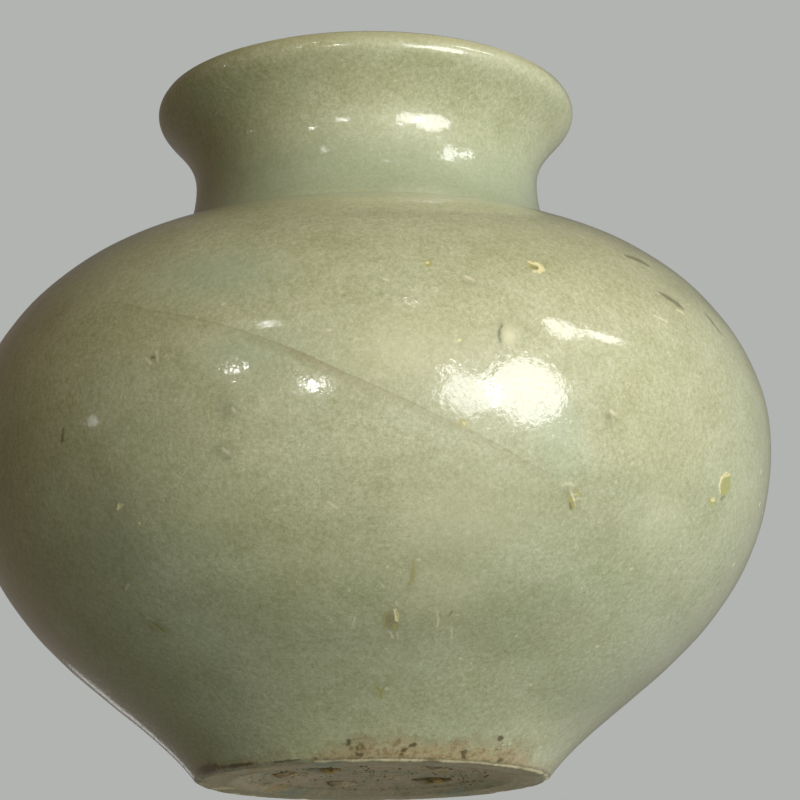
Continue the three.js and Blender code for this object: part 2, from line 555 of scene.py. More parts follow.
def glassy(shader, skin, dulled=None):
    """A glaze's shine: a sharp one, with a faint wide haze around it. Where it is dulled, it has none."""
    roughness = skin * gloss_spread + gloss_low
    haze = 1.0
    if dulled is not None:
        levels = {0: dulled, 2: roughness, 3: dull_roughness}
        roughness = Node(dulled.tree, "ShaderNodeMix", levels, data_type="FLOAT")[0]
        haze = 1.0 - dulled
    feed(shader, {"Roughness": roughness, "Coat Weight": haze})
    feed(shader, {"Coat Roughness": haze_roughness, "IOR": glaze_ior})


def stained_by_foot(place, colour):
    """The glaze with the foot's stain on it, and how far the stain takes its shine."""
    stain = placed(foot_stain, place)
    scorched = kept(place, "scorch") + (cloud(place, 0.45, detail=3.0, roughness=0.65) - 0.5) * 1.1
    colour = blended(
        colour,
        (stain["Tan"] * 0.7, stain_tan),
        (stain["Brown"] * 0.62, stain_brown),
        (kept(place, "stain"), stain_brown),
        (between(scorched, 0.28, 0.56, 0.0, 0.85), stain_dark),
    )
    return colour, stain["Tan"] * 0.5


def hairline_drawn(place, colour):
    """The hairline, with the tea-brown that has crept in under it."""
    off_line = kept(place, "hairline") + (cloud(place, 0.8) - 0.5) * 0.16
    under = between(off_line, 0.06, -0.04) * between(off_line, -1.4, -0.05)
    line = between(abs(off_line), 0.15, 0.02)
    return blended(
        colour,
        (under * kept(place, "hairline_bleed") * 0.4, stain_brown),
        (line * kept(place, "hairline_force") * 0.18, hairline_tan),
    )


def make_outside_glaze():
    material, shader, place = finish_named("celadon_glaze_outside")
    glaze = placed(celadon, place)
    height = height_of(place)

    # The glaze runs thick and cool where the neck stands on the shoulder, and thin and warm on the lip
    pooled = between(height, *neck_pool_below) * between(height, *neck_pool_above)
    thin = between(height, *thin_lip, 0.0, 0.5)
    colour = blended(glaze["Colour"], (pooled * 0.55, glaze_pool), (thin, glaze_warm))
    colour, dry = stained_by_foot(place, colour)
    # Soft marks: cooler tints, smudges with broad painted shade, and blooms with broad painted light
    soft = {"cool": glaze_blue, "smudge_and_painted_shade": smudge_and_shade_grey, "bloom_and_painted_light": glaze_bloom_and_painted_light}
    colour = blended(colour, *((kept(place, name), tone) for name, tone in soft.items()))
    colour = hairline_drawn(place, colour)

    crumbly = cloud(place, 0.6, detail=3.0, roughness=0.6)
    cream = blended(chip_cream, (between(crumbly, 0.50, 0.68), chip_ochre))
    masks = {}
    for name, tone, share, raggedness, softness in (
        ("pale", blister_pale, 0.6, 0.30, 0.10),
        ("olive", thin_olive, 0.7, 0.45, 0.12),
        ("cream", cream, 0.9, 0.35, 0.08),
        # The dark marks include painted shadow in and beside chips and on the blister's left side
        ("dark", crack_and_shadow_dark, 0.7, 0.30, 0.12),
    ):
        edge = {"Distance": kept(place, name), "Raggedness": raggedness, "Softness": softness}
        masks[name] = placed(ragged_mark, place, **edge)["Mask"]
        colour = blended(colour, (masks[name] * share, tone))

    matt = larger(larger(masks["cream"], masks["pale"] * 0.6), masks["olive"] * 0.5)
    glassy(shader, glaze["Skin"], larger(matt, dry))
    normal = bumped(crumbly * masks["cream"], 0.08, 0.8, bumped(glaze["Skin"], skin_depth))
    feed(shader, {"Base Color": colour, "Normal": normal})
    return material


def make_inside_glaze():
    material, shader, place = finish_named("celadon_glaze_inside")
    glaze = placed(celadon, place)
    pooled = between(height_of(place), *floor_pool) * 0.6
    thin = between(height_of(place), *thin_lip, 0.0, 0.5)
    colour = blended(glaze["Colour"], (pooled, glaze_pool), (thin, glaze_warm))
    glassy(shader, glaze["Skin"])
    feed(shader, {"Base Color": colour, "Normal": bumped(glaze["Skin"], skin_depth)})
    return material


def make_foot_clay():
    """Bare clay underneath, a pale worn edge, and above it the last of the glaze with its stain."""
    material, shader, place = finish_named("bare_foot_clay")
    grain = placed(fired_grain, place, Strength=0.9)
    smears = cloud(place, 8.0, detail=3.0, roughness=0.6)
    patches = cloud(place, 4.6, detail=3.0, roughness=0.6)
    streaks = placed(turning_lines, place, Spacing=1.4)["Lines"]
    under = blended(
        clay_grey_brown,
        (between(smears, 0.50, 0.62), clay_pink),
        (between(smears, 0.44, 0.34), clay_blue_grey),
        (between(patches, 0.58, 0.70, 0.0, 0.6), clay_ochre),
        (between(patches, 0.40, 0.30, 0.0, 0.7), clay_dark),
        (between(streaks, 0.5, 0.72, 0.0, 0.35), clay_dark),
    )

    # Distances from the outer edge are above zero up the side, and below it underneath
    glaze = placed(celadon, place)
    side, dry = stained_by_foot(place, glaze["Colour"])
    on_side = between(kept(place, "from_edge"), -0.02, 0.02)
    worn = placed(ragged_mark, place, Distance=kept(place, "worn"), Raggedness=0.45, Softness=0.06)["Mask"]
    edge = toned(edge_cream, grain["Tone"])
    colour = blended(toned(under, grain["Tone"]), (on_side, side), (worn, edge))
    shiny = on_side * (1.0 - worn)
    glassy(shader, glaze["Skin"], 1.0 - shiny * (1.0 - dry))
    normal = bumped(streaks, 0.05, 0.7, bumped(glaze["Skin"], skin_depth))
    normal = bumped((1.0 - shiny) * grain["Height"], 0.08, 0.8, normal)
    feed(shader, {"Base Color": colour, "Normal": normal})
    return material


def make_wall_clay():
    """The grey body clay under the glaze."""
    material, shader, place = finish_named("grey_wall_clay")
    grain = placed(fired_grain, place, Strength=0.8)
    specks = placed(sparse_specks, place, Spacing=1.6, Radius=0.2, Share=0.25)["Mask"] * 0.5
    height = grain["Height"]
    colour = blended(wall_grey_light, (height, wall_grey_dark), (specks, iron_dark))
    feed(shader, {"Base Color": toned(colour, grain["Tone"]), "Roughness": height * 0.2 + 0.7})
    feed(shader, {"Normal": bumped(height, 0.05)})
    return material


def make_kiln_grit():
    """Ochre and grey sand that the firing left stuck under the foot."""
    material, shader, place = finish_named("kiln_grit")
    lumps = cloud(place, 0.9, detail=3.0, roughness=0.65)
    pale = placed(sparse_specks, place, Spacing=0.6, Radius=0.14, Share=0.2)["Mask"] * 0.6
    colour = blended(
        clay_ochre,
        (between(lumps, 0.42, 0.6), clay_dark),
        (between(cloud(place, 2.6), 0.46, 0.60, 0.0, 0.85), clay_pink),
        (pale, edge_cream),
    )
    feed(shader, {"Base Color": colour, "Roughness": lumps * 0.2 + 0.75, "Normal": bumped(lumps, 0.1)})
    return material


outside_glaze = make_outside_glaze()
inside_glaze = make_inside_glaze()
foot_clay = make_foot_clay()
wall_clay = make_wall_clay()
kiln_grit = make_kiln_grit()


# Pieces grown by Geometry Nodes

def geometry_group(name, **takes):
    """A Geometry Nodes tree, the keys by which a modifier sets its inputs, and the inputs as wires."""
    tree = bpy.data.node_groups.new(name, "GeometryNodeTree")
    keys = {}
    for title, kind in takes.items():
        made = tree.interface.new_socket(title, in_out="INPUT", socket_type="NodeSocket" + kind)
        keys[title] = made.identifier
    tree.interface.new_socket("Piece", in_out="OUTPUT", socket_type="NodeSocketGeometry")
    return tree, keys, Node(tree, "NodeGroupInput")


def put_out_piece(tree, shape, finish):
    real = Node(tree, "GeometryNodeRealizeInstances", {0: shape})[0]
    put_out(tree, Piece=Node(tree, "GeometryNodeSetMaterial", {"Geometry": real, "Material": finish})[0])


def make_wheel():
    """Geometry nodes that turn an outline once around the axis. Its points keep their value run."""
    takes = {"Outline": "Geometry", "Columns": "Int", "Finish": "Material"}
    tree, keys, given = geometry_group("turned_on_the_wheel", **takes)
    size = Node(tree, "GeometryNodeAttributeDomainSize", {0: given["Outline"]}, component="MESH")
    rings = size["Point Count"]
    index = Node(tree, "GeometryNodeInputIndex")[0]
    ring = reckon("FLOORED_MODULO", index, rings)
    column = reckon("ROUND", (index - ring) / rings)
    position = Node(tree, "GeometryNodeInputPosition")[0]
    run = Node(tree, "GeometryNodeInputNamedAttribute", {"Name": "run"}, data_type="FLOAT")[0]
    drawn = []
    for value, kind in ((position, "FLOAT_VECTOR"), (run, "FLOAT")):
        sampled = {0: given["Outline"], "Value": value, "Index": ring}
        drawn.append(Node(tree, "GeometryNodeSampleIndex", sampled, data_type=kind, domain="POINT")[0])
    place, place_run = drawn
    spin = {"Vector": place, "Angle": column * (2 * math.pi) / given["Columns"]}
    spun = Node(tree, "ShaderNodeVectorRotate", spin, rotation_type="Z_AXIS")[0]
    counts = {"Vertices X": given["Columns"] + 1, "Vertices Y": rings}
    grid = Node(tree, "GeometryNodeMeshGrid", counts)["Mesh"]
    named = {"Geometry": grid, "Name": "run", "Value": place_run}
    stored = Node(tree, "GeometryNodeStoreNamedAttribute", named, data_type="FLOAT", domain="POINT")[0]
    moved = Node(tree, "GeometryNodeSetPosition", {"Geometry": stored, "Position": spun})[0]
    closed = Node(tree, "GeometryNodeMergeByDistance", {"Geometry": moved, "Distance": seam_weld * MM})[0]
    put_out_piece(tree, closed, given["Finish"])
    return tree, keys


def make_scatter():
    """Geometry nodes that strew grains of sand over the part of a surface whose value dish is 1."""
    takes = {"Ground": "Geometry", "Density": "Float", "Smallest": "Float", "Largest": "Float"}
    tree, keys, given = geometry_group("strewn_sand", **takes, Seed="Int", Finish="Material")

    def chance(kind, low, high):
        between_them = {low[0]: low[1], high[0]: high[1], "Seed": given["Seed"]}
        return Node(tree, "FunctionNodeRandomValue", between_them, data_type=kind)

    dish = Node(tree, "GeometryNodeInputNamedAttribute", {"Name": "dish"}, data_type="FLOAT")[0]
    ground = {"Mesh": given["Ground"], "Selection": reckon("GREATER_THAN", dish, 0.5)}
    ground.update({"Density": given["Density"], "Seed": given["Seed"]})
    strewn = Node(tree, "GeometryNodeDistributePointsOnFaces", ground, distribute_method="RANDOM")["Points"]
    grain = Node(tree, "GeometryNodeMeshIcoSphere", {"Radius": 1.0, "Subdivisions": 1})["Mesh"]
    size = chance("FLOAT", (2, given["Smallest"]), (3, given["Largest"]))[1]
    squash = chance("FLOAT_VECTOR", (0, (0.7, 0.5, 0.45)), (1, (1.3, 1.0, 0.7)))[0]
    turn = chance("FLOAT_VECTOR", (0, (-0.5, -0.5, 0.0)), (1, (0.5, 0.5, 6.28)))[0]
    scale = vector_math("SCALE", squash, size)
    laid = {"Points": strewn, "Instance": grain, "Rotation": turn, "Scale": scale}
    put_out_piece(tree, Node(tree, "GeometryNodeInstanceOnPoints", laid)[0], given["Finish"])
    return tree, keys


seam_weld = 0.002
wheel = make_wheel()
scatter = make_scatter()


def linked(name, data):
    made = bpy.data.objects.new(name, data)
    bpy.context.scene.collection.objects.link(made)
    return made


def grown(name, source, maker, **values):
    """The piece that Geometry Nodes make from a mesh, as a plain mesh without its modifier."""
    tree, keys = maker
    blank = linked(name + "_source", source)
    modifier = blank.modifiers.new(tree.name, "NODES")
    modifier.node_group = tree
    for title, value in values.items():
        modifier[keys[title]] = value
    made = blank.evaluated_get(bpy.context.evaluated_depsgraph_get())
    mesh = bpy.data.meshes.new_from_object(made)
    bpy.data.objects.remove(blank)
    bpy.data.meshes.remove(source)
    mesh.name = name
    return linked(name, mesh)


def turned(name, outline, run, columns, finish):
    """A piece turned from an outline. The value run says how far along the visible line a point lies."""
    drawn = bpy.data.meshes.new(name + "_outline")
    places = [(radius * MM, 0.0, height * MM) for radius, height in outline]
    drawn.from_pydata(places, [(i, i + 1) for i in range(len(places) - 1)], [])
    keep_values(drawn, "run", run)
    return grown(name, drawn, wheel, Columns=columns, Finish=finish)


def deliver(piece, node, sharp_angle=50.0):
    """Smooths a piece, with creases past the sharp angle, hangs it on the root, and hides the solid that it
    stands for.
    """
    for face in piece.data.polygons:
        face.use_smooth = True
    piece.data.set_sharp_from_angle(angle=math.radians(sharp_angle))
    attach(piece, "root")
    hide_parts(node)


# Points of a mesh, in millimetres, and the values kept on them

def points_of(mesh):
    flat = np.zeros(len(mesh.vertices) * 3, np.float32)
    mesh.vertices.foreach_get("co", flat)
    return flat.reshape(-1, 3).astype(float) / MM


def put_points(mesh, points):
    mesh.vertices.foreach_set("co", (points * MM).astype(np.float32).ravel())
    mesh.update()


def take_run(mesh):
    """The value run of each point, which the mesh then gives up."""
    flat = np.zeros(len(mesh.vertices), np.float32)
    mesh.attributes["run"].data.foreach_get("value", flat)
    mesh.attributes.remove(mesh.attributes["run"])
    return flat.astype(float)


def keep_values(mesh, name, values):
    mesh.attributes.new(name, "FLOAT", "POINT").data.foreach_set("value", np.array(values, np.float32))


def bearings_of(points):
    return np.degrees(np.arctan2(points[:, 0], -points[:, 1]))


def ripple(points, size, seed):
    """Smooth noise between about -1 and 1, whose waves are about as long as the size."""
    shift = Vector((seed * 7.3, seed * 3.1, seed * 5.7))
    return np.array([noise.noise(Vector(p) / size + shift) for p in points])


def eased(share):
    share = np.clip(share, 0.0, 1.0)
    return share * share * (3 - 2 * share)


# Marks in the glaze, with their places and sizes in millimetres

largest_hard_mark = 6.0
far_outside = -1.0
mark_bank = 0.4
mark_margin = 0.45


def at_run(run, line, line_run=outside_run):
    """The two values of a line at distances along it."""
    return [np.interp(run, line_run, line[:, axis]) for axis in (0, 1)]


def place_on_glaze(bearing, height):
    """The point of the outside at a bearing and a height."""
    radius, height = at_run(run_at_height(height), outside)
    turn = math.radians(bearing)
    return np.array([math.sin(turn) * radius, -math.cos(turn) * radius, height])


class Oval:
    """An oval at a bearing and a height, as long as it is along its turn, in degrees from level."""

    def __init__(self, bearing, height, long, wide, turn=0, deep=0.0, force=1.0):
        rise = at_run(run_at_height(height), directions(outside))
        bearing_angle, turn_angle = math.radians(bearing), math.radians(turn)
        around = np.array([math.cos(bearing_angle), math.sin(bearing_angle), 0.0])
        up = np.array([math.sin(bearing_angle) * rise[0], -math.cos(bearing_angle) * rise[0], rise[1]])
        self.middle = place_on_glaze(bearing, height)
        self.along = (around * math.cos(turn_angle) + up * math.sin(turn_angle)) * 2 / long
        self.across = (up * math.cos(turn_angle) - around * math.sin(turn_angle)) * 2 / wide
        self.beneath = np.cross(self.along, self.across) * wide / 2
        self.wide, self.deep, self.force = wide, deep, force
        self.reach = max(long, wide) / 2

    def into(self, points):
        off = points - self.middle
        near = np.linalg.norm(off, axis=1) < largest_hard_mark
        share = np.hypot(off @ self.along, off @ self.across)
        return np.where(near, (1.0 - share) * self.wide / 2, far_outside)

    def cover(self, points):
        """How strongly a soft mark covers each point."""
        off = points - self.middle
        share = (off @ self.along) ** 2 + (off @ self.across) ** 2 + (off @ self.beneath) ** 2
        return self.force * np.exp(-share)


class Stroke:
    """A stroke along places that each have a bearing, a height and a width."""

    def __init__(self, *path, deep=0.0):
        self.path = np.array([place_on_glaze(bearing, height) for bearing, height, _ in path])
        self.widths = [width for _, _, width in path]
        self.wide, self.deep = max(self.widths), deep
        self.middle = self.path.mean(axis=0)
        self.reach = np.linalg.norm(self.path - self.middle, axis=1).max() + self.wide / 2

    def into(self, points):
        found = np.full(len(points), far_outside)
        for start, end, start_wide, end_wide in zip(self.path, self.path[1:], self.widths, self.widths[1:]):
            way = end - start
            share = np.clip((points - start) @ way / (way @ way), 0.0, 1.0)
            off = np.linalg.norm(points - start - share[:, None] * way, axis=1)
            found = np.maximum(found, (start_wide + share * (end_wide - start_wide)) / 2 - off)
        return found


def into_mark(points, mark):
    """How far each point lies inside a mark, in millimetres, and below zero outside it."""
    return np.maximum(mark.into(points), far_outside)


def cover(points, kind):
    """How strongly the soft marks of a kind cover each point."""
    return np.max([mark.cover(points) for mark in soft_marks[kind]], axis=0)


hard_marks = {
    # Bare cream clay where the glaze has chipped or burst
    "cream": [
        Stroke(
            (23.2, 46.15, 0.24), (23.6, 46.05, 0.36), (24.3, 45.95, 0.45), (24.95, 45.75, 0.6),
            (25.0, 45.35, 0.6), (24.3, 44.98, 0.42), (23.5, 44.9, 0.24),
            deep=0.06,
        ),
        Stroke(
            (57.5, 26.1, 0.2), (56.7, 26.7, 0.34), (56.8, 27.4, 0.42), (57.8, 27.9, 0.5),
            (58.9, 28.0, 0.36),
            deep=0.05,
        ),
        Stroke((29.0, 23.1, 0.16), (29.5, 22.6, 0.12), deep=0.06),
        Stroke((4.8, 12.65, 0.25), (5.1, 12.25, 0.42), (5.2, 11.8, 0.36), deep=0.06),
        Oval(8.7, 45.05, 0.4, 0.32, deep=0.02),
        Oval(56.1, 25.2, 0.9, 0.5, turn=10, deep=0.06),
        Oval(12.8, 28.75, 0.5, 0.35, turn=-20, deep=0.04),
        Oval(12.1, 36.7, 0.4, 0.3, turn=20, deep=0.05),
        Stroke((-36.0, 22.85, 0.25), (-35.5, 23.1, 0.45), (-34.9, 23.15, 0.25), deep=0.05),
        Oval(-33.0, 21.3, 0.35, 0.25, deep=0.04),
    ],
    # Thin glaze, yellow-olive, in and around the chips
    "olive": [
        Stroke((23.4, 45.5, 0.7), (24.2, 45.5, 0.7), deep=0.03),
        Oval(58.6, 26.9, 2.4, 2.0, turn=85, deep=0.08),
        Stroke((3.4, 12.4, 0.12), (2.9, 11.9, 0.2), (3.2, 11.1, 0.16)),
        Oval(5.1, 11.3, 0.8, 0.36, turn=80, deep=0.02),
        Stroke((7.1, 16.7, 0.12), (7.2, 15.8, 0.26), (7.1, 15.1, 0.2), (6.6, 14.5, 0.1)),
        Stroke((1.0, 6.6, 0.16), (1.9, 6.2, 0.26), (2.6, 5.9, 0.36), (2.9, 5.4, 0.2), deep=0.03),
        Stroke((3.5, 6.35, 0.14), (2.8, 6.0, 0.26), deep=0.03),
        Oval(8.8, 44.95, 0.95, 0.8, turn=80, deep=0.02),
        Stroke((28.9, 22.7, 0.36), (29.6, 22.0, 0.36), deep=0.03),
        Stroke((29.3, 23.5, 0.3), (30.3, 23.1, 0.3), deep=0.02),
        Oval(12.6, 28.8, 1.2, 0.7, turn=-20),
        Oval(55.9, 25.0, 1.3, 0.8, turn=10, deep=0.03),
        Stroke((-39.9, 13.0, 0.3), (-39.3, 12.6, 0.6), (-38.7, 12.1, 0.4), deep=0.03),
        Stroke((-39.5, 17.1, 0.3), (-39.1, 16.9, 0.3)),
    ],
    "pale": [
        Stroke((28.5, 23.5, 0.12), (29.1, 23.0, 0.24), (29.5, 22.6, 0.2), (29.9, 22.1, 0.1), deep=0.04),
        Stroke((29.1, 23.1, 0.18), (29.7, 23.2, 0.14), (30.1, 23.5, 0.08), deep=0.03),
        Stroke((29.5, 22.6, 0.16), (30.2, 22.8, 0.12), (30.8, 22.9, 0.08), deep=0.03),
        Stroke((27.1, 23.8, 0.2), (27.7, 24.0, 0.34), (28.3, 24.05, 0.34), (29.0, 23.9, 0.2)),
        Stroke((3.8, 10.9, 0.22), (4.3, 10.75, 0.22), (4.7, 10.35, 0.22)),
        Stroke((5.4, 10.8, 0.2), (5.7, 10.3, 0.2)),
        Stroke((13.6, 43.65, 0.22), (14.1, 43.45, 0.42), (14.6, 43.25, 0.3), deep=0.04),
        Oval(6.4, 40.4, 0.5, 0.3, turn=10),
        Stroke((-26.8, 36.95, 0.4), (-26.6, 36.2, 0.3), deep=0.03),
        Stroke((-28.3, 36.45, 0.34), (-27.7, 36.0, 0.34), deep=0.03),
        Stroke((2.9, 43.0, 0.25), (3.4, 42.9, 0.25)),
        Stroke((12.0, 12.55, 0.14), (12.5, 11.9, 0.26), (12.6, 11.35, 0.18), deep=0.02),
        Stroke((4.9, 13.3, 0.25), (5.15, 13.05, 0.25)),
        Oval(15.5, 10.7, 1.9, 0.2, turn=100),
        Oval(-2.2, 11.8, 1.3, 0.18, turn=75),
        Oval(2.7, 14.6, 0.9, 0.2, turn=-50),
        Stroke((-4.8, 21.7, 0.2), (-4.2, 21.5, 0.36), (-3.5, 21.25, 0.3), deep=0.03),
        Oval(-2.7, 14.3, 0.35, 0.3),
        Oval(7.9, 16.8, 0.4, 0.3),
        Oval(3.3, 16.2, 0.35, 0.3),
        Oval(28.1, 10.9, 0.35, 0.3),
        Oval(47.9, 10.9, 0.5, 0.35),
        Oval(18.6, 8.8, 0.35, 0.3),
        Oval(38.1, 7.1, 0.4, 0.3),
        Oval(44.1, 17.5, 0.5, 0.3, turn=30),
        Oval(-17.9, 41.2, 0.6, 0.3, turn=30),
        Oval(-4.0, 37.6, 0.5, 0.3),
        Oval(4.2, 6.2, 0.55, 0.4, turn=20, deep=0.03),
        Stroke((48.5, 43.9, 0.3), (49.6, 43.75, 0.45)),
        Stroke((42.3, 42.2, 0.2), (44.8, 41.9, 0.35)),
        Oval(33.3, 31.1, 0.7, 0.35, turn=-20),
        Stroke((-18.1, 26.9, 0.4), (-17.6, 26.6, 0.4)),
        Stroke((-16.5, 30.6, 0.3), (-16.2, 30.3, 0.3)),
        Oval(43.8, 2.05, 0.35, 0.25),
        # A painted glint: a small pale spot on the stain above the foot
        Oval(41.5, 1.9, 0.35, 0.25),
        Stroke((-40.7, 13.3, 0.1), (-39.9, 13.5, 0.2), (-39.0, 13.0, 0.12)),
        Stroke((-41.0, 16.0, 0.2), (-39.8, 16.4, 0.35)),
    ],
    # Dark specks and cracks, and painted shadow in hollows: inside and beside chips, beside a scratch and on
    # the blister's left side
    "dark": [
        # Painted shadow inside the curled chip
        Stroke((23.5, 45.5, 0.2), (24.2, 45.45, 0.3), deep=0.06),
        # Painted shade on the left side of the blister
        Stroke((17.7, 38.5, 0.1), (17.3, 37.9, 0.2), (17.2, 37.3, 0.24), (17.4, 36.7, 0.1), deep=0.02),
        Stroke((28.9, 22.3, 0.26), (29.3, 21.9, 0.26), deep=0.03),
        # Painted shadow beside a pale scratch
        Stroke((14.5, 12.6, 0.14), (14.2, 12.2, 0.14)),
        # Painted shading along the lower edge of the looped chip
        Stroke((59.0, 25.9, 0.2), (58.2, 25.5, 0.3), deep=0.02),
        Stroke(
            (46.3, 45.5, 0.4), (47.3, 45.2, 0.8), (48.6, 45.0, 0.6), (49.4, 44.7, 0.8),
            (50.3, 44.4, 0.4),
        ),
        Stroke((44.1, 49.8, 0.5), (45.9, 49.8, 0.8), (47.4, 49.7, 0.9), (48.6, 49.4, 0.6)),
        Stroke((57.6, 45.1, 0.4), (58.5, 44.5, 0.7), (59.3, 43.7, 0.6), (60.3, 43.2, 0.3)),
        Stroke((-42.8, 31.2, 0.3), (-43.2, 30.2, 0.5)),
        Stroke((-27.6, 36.5, 0.3), (-27.2, 36.45, 0.3), deep=0.03),
    ],
}

# Soft stains and tints under the surface, and painted shade and painted light, each with its force
soft_marks = {
    "stain": [
        Oval(7.2, 15.8, 4.0, 0.9, turn=85, force=0.3),
        Oval(4.1, 11.8, 2.6, 1.5, turn=85, force=0.55),
        Oval(29.2, 22.6, 2.2, 1.2, turn=-60, force=0.4),
        Oval(28.3, 23.3, 2.6, 1.2, force=0.22),
        Oval(12.6, 28.8, 1.8, 1.2, force=0.2),
        Oval(14.0, 42.8, 1.8, 0.8, turn=-10, force=0.25),
        Oval(48.2, 44.9, 3.2, 1.4, turn=-20, force=0.3),
        Oval(2.3, 5.9, 1.6, 1.2, force=0.22),
        Oval(24.0, 45.5, 1.6, 1.4, force=0.2),
        # Painted shade with a warm painted reflection across the left side
        Oval(-36.0, 24.7, 13.0, 9.0, force=0.12),
        Oval(35.6, 20.7, 8.0, 4.0, force=0.12),
        Oval(-39.5, 12.9, 2.6, 1.6, turn=-30, force=0.25),
        Oval(-40.0, 16.6, 2.2, 1.2, turn=30, force=0.15),
    ],
    # Dark places in the stain above the foot's edge
    "scorch": [
        Oval(-62.0, 0.5, 6.5, 1.5, force=0.8),
        Oval(-46.0, 0.35, 7.0, 0.7, force=0.75),
        Oval(-27.0, 0.3, 5.0, 0.5, force=0.6),
        Oval(-16.5, 0.4, 0.9, 0.4, force=0.7),
        Oval(-40.0, 1.9, 6.0, 1.4, turn=5, force=0.3),
        Oval(-5.9, 1.7, 1.0, 0.9, turn=30, force=0.85),
        Oval(-2.9, 0.6, 0.8, 0.6, force=0.75),
        Oval(-3.6, 1.2, 2.2, 2.4, turn=80, force=0.45),
        Oval(12.6, 1.5, 1.1, 0.7, turn=35, force=0.85),
        Oval(10.1, 1.0, 0.8, 0.6, turn=20, force=0.8),
        Oval(9.4, 0.6, 0.6, 0.5, force=0.7),
        Oval(29.0, 1.0, 1.0, 0.7, force=0.8),
        Oval(29.4, 0.55, 0.9, 0.5, turn=-30, force=0.8),
        Oval(39.1, 2.4, 1.1, 0.8, force=0.85),
        Oval(40.0, 1.7, 2.6, 1.6, turn=60, force=0.35),
        Oval(43.6, 0.5, 1.2, 0.7, force=0.7),
    ],
    # Duller, darker places: small smudges, and broad painted shade on the lower body and the left side
    "smudge_and_painted_shade": [
        Oval(-17.2, 30.6, 2.6, 2.0, turn=80, force=0.5),
        Oval(-16.2, 30.3, 1.4, 0.6, turn=80, force=0.5),
        Oval(-18.2, 26.8, 2.2, 1.9, force=0.4),
        Oval(-18.9, 26.6, 1.4, 0.5, turn=90, force=0.5),
        Oval(-18.0, 26.1, 1.6, 0.5, turn=10, force=0.55),
        Oval(-27.0, 36.4, 1.8, 1.3, force=0.3),
        Oval(32.8, 30.6, 0.9, 0.8, force=0.6),
        Oval(33.3, 30.0, 1.3, 0.3, turn=-70, force=0.4),
        Oval(-39.3, 12.5, 2.6, 1.4, turn=-30, force=0.35),
        # Painted shade down the left side of the blister
        Oval(17.4, 37.5, 2.4, 0.6, turn=90, force=0.7),
        # Broad painted shade, darker towards the bottom and on the left side
        Oval(2.4, 10.5, 40.0, 8.0, force=0.2),
        Oval(20.0, 3.5, 44.0, 9.0, force=0.12),
        Oval(56.0, 6.5, 16.0, 8.0, force=0.22),
        Oval(-38.0, 20.5, 9.0, 13.0, force=0.3),
        Oval(-25.0, 32.0, 16.0, 9.0, force=0.14),
        Oval(-27.2, 13.9, 10.0, 5.0, force=0.16),
        Oval(10.0, 8.4, 16.0, 1.6, force=0.08),
    ],
    # Cooler, bluer places
    "cool": [
        Oval(-20.0, 45.1, 14.0, 7.0, turn=-10, force=0.45),
        Oval(-15.3, 36.1, 9.0, 5.0, force=0.3),
        Oval(25.7, 27.9, 5.0, 8.0, force=0.3),
    ],
    # Paler places: a milky blister, and broad painted light on the front of the belly, near the highlights
    "bloom_and_painted_light": [
        Oval(45.7, 22.1, 6.0, 9.0, force=0.25),
        Oval(18.6, 37.45, 1.9, 1.7, turn=80, force=0.85),
        # Broad painted light, paler on the front of the belly
        Oval(14.5, 20.0, 15.0, 10.0, force=0.38),
        Oval(5.2, 35.5, 13.0, 7.0, force=0.38),
        Oval(15.3, 23.7, 18.0, 1.6, force=0.22),
        Oval(12.5, 14.8, 11.0, 6.0, force=0.3),
        Oval(-22.1, 21.6, 9.0, 3.0, force=0.2),
        Oval(-6.7, 17.2, 8.0, 4.0, force=0.12),
    ],
}

# The hairline, from its left end to its right
hairline_bearings = [
    -36.2, -28.6, -22.9, -16.7, -11.4, -6.9, -2.5, 1.9, 5.4, 9.1, 12.8, 15.9, 19.1, 22.5, 26.8,
]
hairline_heights = [43.8, 41.6, 40.3, 38.6, 36.9, 35.3, 33.5, 32.0, 30.8, 29.5, 28.4, 27.4, 26.4, 25.3, 24.4]
hairline_fade = 3.0


def scattered_marks(count, longest, deep, seed):
    """Small marks at random places on the sides and the back."""
    chance = random.Random(seed)
    made = []
    for _ in range(count):
        long = chance.uniform(0.35, longest)
        bearing = chance.uniform(68.0, 292.0)
        height = chance.uniform(6.0, 52.0)
        wide = long * chance.uniform(0.35, 0.9)
        made.append(Oval(bearing, height, long, wide, turn=chance.uniform(-90.0, 90.0), deep=deep * long))
    return made


hard_marks["cream"] += scattered_marks(13, longest=1.2, deep=0.08, seed=11)
hard_marks["pale"] += scattered_marks(26, longest=0.8, deep=0.02, seed=12)
hard_marks["dark"] += scattered_marks(13, longest=0.7, deep=0.03, seed=13)


def hairline_distance(bearings, run):
    """How far above the hairline each point lies, in millimetres, and how much of the line shows there."""
    middle_bearings = np.array(hairline_bearings)
    left, right = middle_bearings[[0, -1]]
    line_run = np.array([run_at_height(height) for height in hairline_heights])
    radius = at_run(line_run, outside)[0]
    fine_bearings = np.linspace(left - 2, right + 2, hairline_steps)
    fine_run = np.interp(fine_bearings, middle_bearings, line_run)
    around = np.radians(1.0) * np.interp(fine_bearings, middle_bearings, radius)
    slant = 1.0 / np.sqrt(1.0 + (np.gradient(fine_run, fine_bearings) / around) ** 2)
    off = (run - np.interp(bearings, fine_bearings, fine_run)) * np.interp(bearings, fine_bearings, slant)
    ends = [np.clip(inset / hairline_fade, 0.0, 1.0) for inset in (bearings - left, right - bearings)]
    return np.clip(off, -hairline_reach, hairline_reach), ends[0] * ends[1]


hairline_steps = 400
hairline_reach = 2.0
hairline_bleed_bearing = -6.0
hairline_bleed_spread = 6.0
least_bleed = 0.35


# The two coats of glaze

